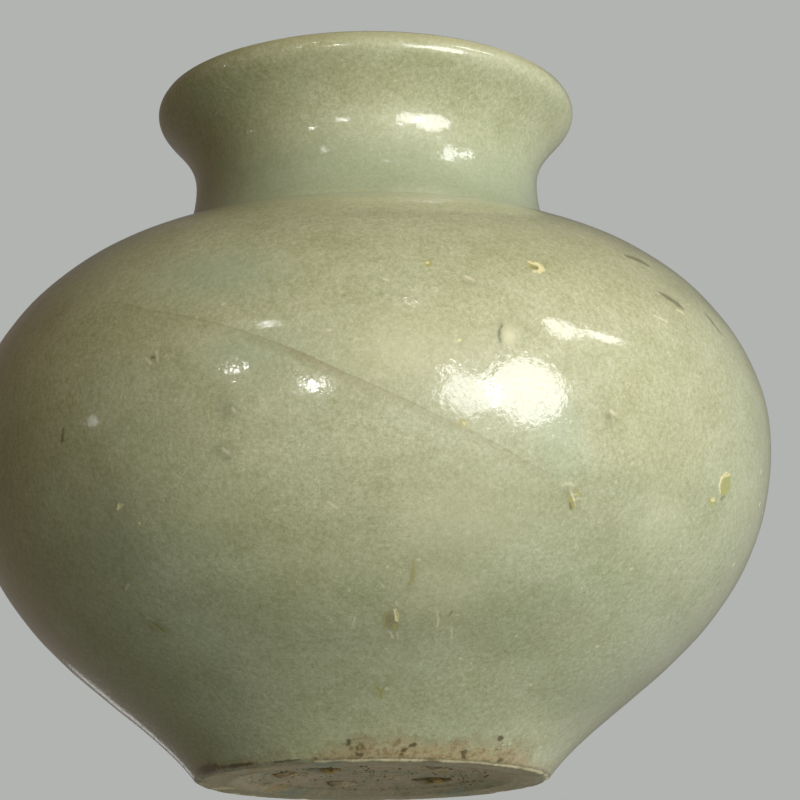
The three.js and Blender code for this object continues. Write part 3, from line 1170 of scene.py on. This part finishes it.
outer_columns = 300
inner_columns = 180
ring_spacing = 0.95
ring_turn = 7.0
hidden_ring_spacing = 4.0
hidden_ring_turn = 20.0
hidden_run = -100.0
refine_levels = 3
refine_slack = 1.2
small_scorch_reach = 0.5
foot_fade = 9.0
lip_fade = 3.0
inner_lip_fade = 1.0
floor_fade_run = 3.0
axis_hold = 0.01

# How far the throwing left the coats uneven, and the spacing of its rings and its waves
oval_depth = 0.05
three_sided_depth = 0.03
ring_depth = 0.012
throwing_ring_spacing = 6.3
wobble_depth = 0.035
wobble_size = 9.0
skin_wave_depth = 0.010
skin_wave_size = 2.8
inner_ring_depth = 0.06
inner_ring_spacing = 7.5
inner_wobble_depth = 0.03
inner_wobble_size = 8.0


def refine(mesh, marks):
    """Splits the faces near the marks, each time in a slightly smaller ring around them."""
    tree = kdtree.KDTree(len(marks))
    for index, mark in enumerate(marks):
        tree.insert(mark.middle, index)
    tree.balance()
    widest_reach = max(mark.reach for mark in marks) + mark_margin
    worked = bmesh.new()
    worked.from_mesh(mesh)
    run_layer = worked.verts.layers.float["run"]
    for level in range(refine_levels):
        slack = refine_slack / 2 ** level
        margin = mark_margin + slack
        chosen = set()
        for face in worked.faces:
            if min(vertex[run_layer] for vertex in face.verts) < 0.0:
                continue
            middle = face.calc_center_median() / MM
            near = tree.find_range(middle, widest_reach + slack)
            if any(distance < marks[index].reach + margin for _, index, distance in near):
                chosen.update(face.edges)
        bmesh.ops.subdivide_edges(worked, edges=list(chosen), cuts=1, use_grid_fill=True)
    bmesh.ops.triangulate(worked, faces=[face for face in worked.faces if len(face.verts) > 4])
    worked.to_mesh(mesh)
    worked.free()


def coat_sides(line, start, end, thickness):
    """The seen side of a coat, how far along its line each point lies, and the hidden side, backwards."""
    run = runs(line)
    shown = np.vstack([taken(line, [start]), line[(run >= start) & (run <= end)], taken(line, [end])])
    apart_from_last = np.linalg.norm(np.diff(shown, axis=0), axis=1) > 1e-6
    shown = shown[np.concatenate([[True], apart_from_last])]
    places = ring_places(shown, ring_spacing, ring_turn)
    covered = sunk(shown, thickness)
    covered_places = ring_places(covered, hidden_ring_spacing, hidden_ring_turn)
    return taken(shown, places), places + start, taken(covered, covered_places)[::-1]


def wheel_unevenness(points, bearings, run):
    """How far the throwing left the surface inside the true round, in millimetres."""
    turns = np.radians(bearings)
    ovalness = oval_depth * (1 + np.cos(2 * turns + 0.6 + run * 0.02))
    three_sided = three_sided_depth * (1 + np.cos(3 * turns - 1.1))
    winding = 0.8 * np.sin(turns + run * 0.05)
    rings = ring_depth * (1 + np.sin(2 * math.pi * run / throwing_ring_spacing + winding))
    wobble = wobble_depth * (1 + ripple(points, wobble_size, seed=3))
    skin = skin_wave_depth * (1 + ripple(points, skin_wave_size, seed=4))
    return ovalness + three_sided + rings + wobble + skin


def pressed_to_line(points, run, line):
    """Points brought onto the turned surface, and the directions into the wall there."""
    radius, height = at_run(run, line, runs(line))
    into_radius, into_height = at_run(run, inward(line), runs(line))
    across = np.hypot(points[:, 0], points[:, 1])
    out = points[:, :2] / np.where(across > 1e-6, across, 1.0)[:, None]
    on_line = np.column_stack([out * radius[:, None], height])
    return on_line, np.column_stack([out * into_radius[:, None], into_height])


def make_outer_coat():
    start, end = run_at_height(glaze_line), outside_run[-1]
    front, front_run, back = coat_sides(outside, start, end, outer_coat)
    loop = np.vstack([front, back, front[:1]])
    along = np.concatenate([front_run, np.full(len(back), hidden_run), front_run[:1]])
    piece = turned("celadon_coat_outside", loop, along, outer_columns, outside_glaze)
    mesh = piece.data
    marks = [mark for kind in hard_marks.values() for mark in kind]
    marks += [scorch for scorch in soft_marks["scorch"] if scorch.reach < small_scorch_reach]
    refine(mesh, marks)

    points = points_of(mesh)
    run = take_run(mesh)
    bearings = bearings_of(points)
    on_line, into_wall = pressed_to_line(points, run, outside)
    depth = wheel_unevenness(on_line, bearings, run)
    for mark in marks:
        depth += mark.deep * eased(into_mark(on_line, mark) / (mark_bank * mark.wide))
    # At its two ends the coat meets the foot and the inside coat exactly
    depth *= eased((run - start) / foot_fade) * eased((end - run) / lip_fade)
    hidden = run < hidden_run / 2
    moved = on_line + into_wall * depth[:, None]
    put_points(mesh, np.where(hidden[:, None], points, moved))

    off_line, force = hairline_distance(bearings, run)
    bleed = np.exp(-((bearings - hairline_bleed_bearing) / hairline_bleed_spread) ** 2)
    force = np.where(hidden, 0.0, force)
    keep_values(mesh, "hairline", np.where(hidden, hairline_reach, off_line))
    keep_values(mesh, "hairline_force", force)
    keep_values(mesh, "hairline_bleed", force * (least_bleed + (1.0 - least_bleed) * bleed))
    for name, kind in hard_marks.items():
        into = np.max([into_mark(on_line, mark) for mark in kind], axis=0)
        keep_values(mesh, name, np.where(hidden, far_outside, into))
    for name in soft_marks:
        keep_values(mesh, name, np.where(hidden, 0.0, cover(on_line, name)))
    deliver(piece, "outer_glaze")


def make_inner_coat():
    end = runs(inside)[-1]
    front, front_run, back = coat_sides(inside, 0.0, end, inner_coat)
    loop = np.vstack([back, front])
    loop[[0, -1], 0] = 0.0
    along = np.concatenate([np.full(len(back), hidden_run), front_run])
    piece = turned("celadon_coat_inside", loop, along, inner_columns, inside_glaze)
    points = points_of(piece.data)
    run = take_run(piece.data)
    on_line, into_wall = pressed_to_line(points, run, inside)
    winding = np.sin(np.radians(bearings_of(points)))
    rings = inner_ring_depth * (1 + np.sin(2 * math.pi * run / inner_ring_spacing + winding))
    height = rings + inner_wobble_depth * (1 + ripple(on_line, inner_wobble_size, seed=6))
    height *= np.clip(run / inner_lip_fade, 0.0, 1.0) * np.clip((end - run) / floor_fade_run, 0.0, 1.0)
    shown = (run > hidden_run / 2) & (run < end - axis_hold)
    put_points(piece.data, np.where(shown[:, None], on_line - into_wall * height[:, None], points))
    deliver(piece, "inner_glaze")


# The foot

foot_columns = 420
dish_steps = 31
ring_steps = 15
bevel_steps = 5
band_steps = 9
covered_steps = 5
drag_depth = 0.03
coarse_crumble = 0.07
fine_crumble = 0.05
nibble_depth = 0.22
rim_width = 0.5
worn_width = 0.40
worn_under = 0.03
worn_spread = 6.0
worn_gap = 0.5


def dish_ceiling(distance):
    return dish_depth * (1 - (distance / dish_radius) ** 4)


def foot_outline():
    """From the middle of the dish over the ring, the bevel and the bare band, and back over the slab's top.

    With each point comes its distance along the line from the outer edge, below zero underneath.
    """
    bevel_run, band_run = run_at_height(edge_bevel), run_at_height(glaze_line)
    distances = dish_radius * np.linspace(0.0, 1.0, dish_steps)
    dish = np.column_stack([distances, dish_ceiling(distances)])
    ring_radii = np.linspace(dish_radius, foot_radius - edge_bevel, ring_steps)[1:]
    ring = np.column_stack([ring_radii, np.zeros(len(ring_radii))])
    bevel_shares = np.linspace(0.0, 1.0, bevel_steps)[1:, None]
    bevel = ring[-1] + (taken(outside, [bevel_run]) - ring[-1]) * bevel_shares
    band = taken(outside, np.linspace(bevel_run, band_run, band_steps)[1:])
    covered_run = np.linspace(band_run, run_at_height(slab_thickness), covered_steps)
    covered = taken(sunk(outside, slab_tuck), covered_run)
    top_radius = covered[-1, 0]
    top = np.array([[radius, slab_thickness] for radius in (top_radius - 0.8, top_radius * 0.5, 0.0)])
    covered = covered[covered[:, 1] < slab_thickness - 0.4]
    outline = np.vstack([dish, ring, bevel, band, covered, top])
    from_edge = runs(outline) - runs(outline)[len(dish) + len(ring) - 1]
    from_edge[-len(covered) - len(top):] = hidden_run
    return outline, from_edge


def worn_strip(bearings, from_edge, places):
    """How far inside the pale worn strip on the outer edge each point lies, in millimetres."""
    level = places * [1, 1, 0]
    at_left = np.exp(-((bearings + 120.0) / 35.0) ** 2)
    spread = np.maximum(ripple(level, 1.8, seed=15), 0.0) * at_left * worn_spread
    into = np.minimum(from_edge + worn_under + spread, worn_width - from_edge)
    # At the left of the front the edge is stained instead, and elsewhere it is worn in stretches
    unworn = np.clip((17.0 - np.abs(bearings + 33.0)) / 5.0, 0.0, 1.0)
    unworn = np.maximum(unworn, np.clip((25.0 - np.abs(bearings + 62.0)) / 5.0, 0.0, 1.0))
    gaps = np.maximum(ripple(level, 1.6, seed=14) - 0.12, 0.0) * worn_gap
    return into - unworn * 0.6 - gaps


def make_foot():
    outline, outline_run = foot_outline()
    piece = turned("trimmed_foot", outline, outline_run, foot_columns, foot_clay)
    mesh = piece.data
    points = points_of(mesh)
    from_edge = take_run(mesh)
    open_clay = from_edge > hidden_run / 2
    across = np.hypot(points[:, 0], points[:, 1])
    # The dish and the ring are dragged by the trimming tool and pitted by grit, always upwards into the clay
    in_dish = open_clay & (across < dish_radius) & (from_edge < 0.0)
    on_ring = open_clay & (across >= dish_radius) & (from_edge < 0.2)
    drag = drag_depth * (1 + np.sin(across * 5.2 + 1.5 * ripple(points, 12.0, seed=8)))
    crumble = coarse_crumble * np.maximum(ripple(points, 1.3, seed=9), 0.0)
    crumble += fine_crumble * np.maximum(ripple(points, 0.55, seed=10), 0.0)
    # The outer rim is nibbled: some stretches are worn back
    nibble = nibble_depth * np.maximum(ripple(points * [1, 1, 0], 2.2, seed=12) - 0.1, 0.0)
    rim = np.exp(-((across - (foot_radius - edge_bevel)) / rim_width) ** 2)
    keep_values(mesh, "worn", worn_strip(bearings_of(points), from_edge, points))
    for name in ("stain", "scorch"):
        keep_values(mesh, name, np.where(open_clay, cover(points, name), 0.0))
    keep_values(mesh, "from_edge", from_edge)
    keep_values(mesh, "dish", in_dish & (across < dish_radius - sand_margin))
    worn_back = np.where(on_ring, crumble * 0.6 + nibble * rim, 0.0)
    points[:, 2] += np.where(in_dish, drag + crumble, 0.0) + worn_back
    put_points(mesh, points)
    deliver(piece, "base_slab", sharp_angle=60.0)
    return piece


# The grit: each crumb by its bearing in degrees from the right towards the back, as in the solid model

grit_crumbs = [
    dict(bearing=184, from_edge=5.6, long=4.8, wide=3.0, turn=82),
    dict(bearing=112, from_edge=5.4, long=4.2, wide=2.8, turn=40),
    dict(bearing=47, from_edge=5.6, long=5.4, wide=2.8, turn=150),
    dict(bearing=212, from_edge=9.6, long=3.0, wide=2.2, turn=40),
    dict(bearing=322, from_edge=6.2, long=3.6, wide=2.6, turn=62),
]
crumb_subdivisions = 4
grit_drop = 0.7
grit_bite = 0.08
lowest_grit = 0.1
grit_shrink = 0.82
grit_clearance = 0.12
broad_raggedness = 0.22
fine_raggedness = 0.16


def make_crumb(crumb, number):
    """A flat ragged crumb that clings to the dish."""
    worked = bmesh.new()
    bmesh.ops.create_icosphere(worked, subdivisions=crumb_subdivisions, radius=1.0)
    bearing, turn = math.radians(crumb["bearing"]), math.radians(crumb["turn"])
    middle = np.array([math.cos(bearing), math.sin(bearing)]) * (dish_radius - crumb["from_edge"])
    along = np.array([math.cos(turn), math.sin(turn)]) * crumb["long"] / 2
    across = np.array([-math.sin(turn), math.cos(turn)]) * crumb["wide"] / 2
    for vertex in worked.verts:
        x, y, z = vertex.co
        broad = 1 + broad_raggedness * noise.noise(Vector((x, y, number * 3.0)) * 1.6)
        fine = 1 + fine_raggedness * noise.noise(Vector((x, y, z + number * 5.0)) * 4.5)
        flat = middle + (along * x + across * y) * grit_shrink * broad * fine
        ceiling = dish_ceiling(min(float(np.hypot(*flat)), dish_radius))
        lump = 0.75 + 0.35 * noise.noise(Vector((flat[0], flat[1], number)) * 1.3)
        below = (grit_drop - grit_clearance) * lump * (-z) ** 1.6 if z < 0.0 else -grit_bite * z
        vertex.co = Vector((flat[0], flat[1], max(ceiling - below, lowest_grit))) * MM
    bmesh.ops.recalc_face_normals(worked, faces=worked.faces)
    if worked.calc_volume(signed=True) < 0.0:
        bmesh.ops.reverse_faces(worked, faces=worked.faces)
    mesh = bpy.data.meshes.new(f"kiln_grit_{number}")
    worked.to_mesh(mesh)
    worked.free()
    mesh.materials.append(kiln_grit)
    deliver(linked(mesh.name, mesh), f"grit_crumb_{number}", sharp_angle=60.0)


sand_margin = 1.5
sand_per_square_metre = 450000.0
smallest_grain = 0.07
largest_grain = 0.22
sand_seed = 5


def make_sand(foot):
    """Grains of sand caught in the dish under the foot."""
    piece = grown(
        "dish_sand", foot.data.copy(), scatter,
        Density=sand_per_square_metre, Smallest=smallest_grain * MM, Largest=largest_grain * MM,
        Seed=sand_seed, Finish=kiln_grit,
    )
    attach(piece, "root")


# The camera, the stage and the lamps

camera_pitch = 14.711
camera_roll = -0.753
camera_distance = 288.3
camera_aim = (3.48, 0.0, 42.15)
picture_width = 800
focal_length_in_pixels = 2600.0
sensor_width = 36.0


def stood(thing, right, up, back, place):
    """Stands a lamp or a camera at a place in metres, by its three directions."""
    thing.matrix_world = Matrix.Translation(place) @ Matrix((right, up, back)).transposed().to_4x4()


def make_camera():
    pitch = math.radians(camera_pitch)
    roll = math.radians(camera_roll)
    ahead = Vector((0.0, math.cos(pitch), math.sin(pitch)))
    level = Vector((1.0, 0.0, 0.0))
    upward = Vector((0.0, -math.sin(pitch), math.cos(pitch)))
    right = level * math.cos(roll) + upward * math.sin(roll)
    up = upward * math.cos(roll) - level * math.sin(roll)
    data = bpy.data.cameras.new("camera")
    data.sensor_width = sensor_width
    data.lens = sensor_width * focal_length_in_pixels / picture_width
    data.clip_start = 0.01
    data.clip_end = 20.0
    camera = linked("camera", data)
    stood(camera, right, up, -ahead, (Vector(camera_aim) - ahead * camera_distance) * MM)
    bpy.context.scene.camera = camera


lamp_aim = Vector((0.0, 0.0, 38.0)) * MM
warm = (1.0, 0.55, 0.2)


def make_lamp(name, bearing, rise, wide, high, radiance, tilt=0.0, colour=(1.0, 1.0, 1.0), distance=1.5):
    """A soft oval lamp that faces the pot. Its power follows from its size and its radiance."""
    data = bpy.data.lights.new(name, "AREA")
    data.shape = "ELLIPSE"
    data.size = wide
    data.size_y = high
    data.energy = radiance * wide * high * math.pi / 4 * math.pi
    data.color = colour
    lamp = linked(name, data)
    around, lift, turn = math.radians(bearing), math.radians(rise), math.radians(tilt)
    back = Vector((math.sin(around) * math.cos(lift), -math.cos(around) * math.cos(lift), math.sin(lift)))
    level = Vector((0.0, 0.0, 1.0)).cross(back).normalized()
    along = level * math.cos(turn) + back.cross(level) * math.sin(turn)
    stood(lamp, along, back.cross(along), back, lamp_aim + back * distance)
    lamp.visible_camera = False
    return lamp


def make_lamps():
    """Each lamp by its bearing and its rise over the horizon, in degrees, and its size in metres."""
    make_lamp("key_lamp", 43, 2, 0.64, 0.64, tilt=13, radiance=10.2)
    make_lamp("key_left_lamp", 27.6, -1, 0.42, 0.44, tilt=10, radiance=8.8)
    make_lamp("upper_round_lamp", 59, 31.5, 0.22, 0.33, radiance=10.0)
    make_lamp("upper_long_lamp", 71, 29.3, 0.36, 0.11, tilt=-18, radiance=12.0)
    only_mirrored = [
        make_lamp("glint_by_key", 22.1, 8.5, 0.1, 0.1, radiance=14.0),
        make_lamp("glint_front", -13.7, 2, 0.12, 0.09, radiance=34.0),
        make_lamp("glint_front_glow", -13.7, 2, 0.28, 0.2, radiance=3.6),
        make_lamp("glint_left", -34.6, 10.3, 0.05, 0.05, radiance=85.0),
        make_lamp("glint_far_left", -79, 1.3, 0.04, 0.04, radiance=24.0),
        make_lamp("glint_upper_left", -28, 32.7, 0.11, 0.03, radiance=42.0),
        make_lamp("glint_high", 15.6, 45.7, 0.05, 0.05, radiance=16.0),
        make_lamp("glint_behind", 172, 12, 0.05, 0.06, radiance=9.0, distance=0.22),
        make_lamp("glint_back", 196, -3.5, 0.14, 0.11, radiance=0.8),
    ]
    only_lighting = [
        make_lamp("key_fill", 27, 4, 0.88, 0.66, radiance=3.7),
        make_lamp("front_high_fill", 25, 45, 1.3, 1.3, radiance=0.7, colour=warm),
        make_lamp("low_left_fill", -115, -60, 1.2, 1.2, radiance=0.2),
        make_lamp("low_back_fill", 150, -25, 1.3, 1.3, radiance=2.0),
        make_lamp("back_fill", 165, 10, 1.0, 1.0, radiance=7.0),
        make_lamp("top_fill", 165, 75, 1.6, 1.6, radiance=0.1),
    ]
    for lamp in only_mirrored:
        lamp.visible_diffuse = False
    for lamp in only_lighting:
        lamp.visible_glossy = False


room_colour = paint(178, 180, 177)
room_ambient = (0.056, 0.067, 0.046, 1.0)
# What the glaze mirrors to the left and right, the front and back, below and above
mirrored_sides = (
    ((0.22, 0.13, 0.06), (0.62, 0.71, 0.67)),
    ((0.61, 0.63, 0.48), (0.16, 0.14, 0.13)),
    ((0.11, 0.15, 0.13), (0.06, 0.06, 0.05)),
)


def mirrored_colour(way):
    """The colours of the six sides, blended by the direction of the mirrored ray."""
    parts = apart(way)
    total = (0.0, 0.0, 0.0)
    for axis, sides in enumerate(mirrored_sides):
        for sign, side in zip((-1.0, 1.0), sides):
            facing = larger(parts[axis] * sign, 0.0)
            total = vector_math("ADD", total, vector_math("SCALE", side, facing * facing))
    return total


def make_room():
    """A plain pale surround, and another that only the glaze mirrors."""
    world = bpy.data.worlds.new("room")
    world.use_nodes = True
    tree = world.node_tree
    rays = Node(tree, "ShaderNodeLightPath")
    mirrored = mirrored_colour(Node(tree, "ShaderNodeTexCoord")["Generated"])
    seen_in_gloss = larger(rays["Is Glossy Ray"], rays["Is Transmission Ray"])
    colour = blended(room_ambient, (seen_in_gloss, mirrored), (rays["Is Camera Ray"], room_colour))
    feed(tree.nodes["Background"].inputs, {"Color": colour})
    bpy.context.scene.world = world


floor_radius = 1.6
floor_segments = 96
floor_colour = paint(170, 172, 169)
floor_glow = 0.6
floor_fade = (0.95, 0.3)


def make_floor():
    """A pale table top that fades into the surround. From below, the camera looks through it."""
    worked = bmesh.new()
    shape = dict(segments=floor_segments, radius=floor_radius)
    bmesh.ops.create_circle(worked, cap_ends=True, cap_tris=True, **shape)
    mesh = bpy.data.meshes.new("table_top")
    worked.to_mesh(mesh)
    worked.free()
    material = bpy.data.materials.new("pale_table_top")
    material.use_nodes = True
    tree = material.node_tree
    tree.nodes.remove(tree.nodes["Principled BSDF"])
    place = Node(tree, "ShaderNodeTexCoord")["Object"]
    reach = Node(tree, "ShaderNodeVectorMath", {0: place}, operation="LENGTH")["Value"]
    near = between(reach, *(floor_radius * share for share in floor_fade))
    from_above = 1.0 - Node(tree, "ShaderNodeNewGeometry")["Backfacing"]
    solid = Node(tree, "ShaderNodeLightPath")["Is Camera Ray"] * from_above * near
    matt = Node(tree, "ShaderNodeBsdfDiffuse", {"Color": floor_colour})[0]
    glow = Node(tree, "ShaderNodeEmission", {"Color": room_colour, "Strength": floor_glow})[0]
    lit = Node(tree, "ShaderNodeAddShader", {0: matt, 1: glow})[0]
    clear = Node(tree, "ShaderNodeBsdfTransparent")[0]
    shown = Node(tree, "ShaderNodeMixShader", {0: solid, 1: clear, 2: lit})[0]
    feed(tree.nodes["Material Output"].inputs, {"Surface": shown})
    mesh.materials.append(material)
    linked("table_top", mesh)


make_camera()
make_room()
make_floor()
make_lamps()

make_outer_coat()
make_inner_coat()
foot = make_foot()
for number, crumb in enumerate(grit_crumbs, start=1):
    make_crumb(crumb, number)
make_sand(foot)

for name in ("body_wall", "neck_collar"):
    for material_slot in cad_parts[name].material_slots:
        material_slot.material = wall_clay

scene = bpy.context.scene
scene.view_settings.view_transform = "Standard"
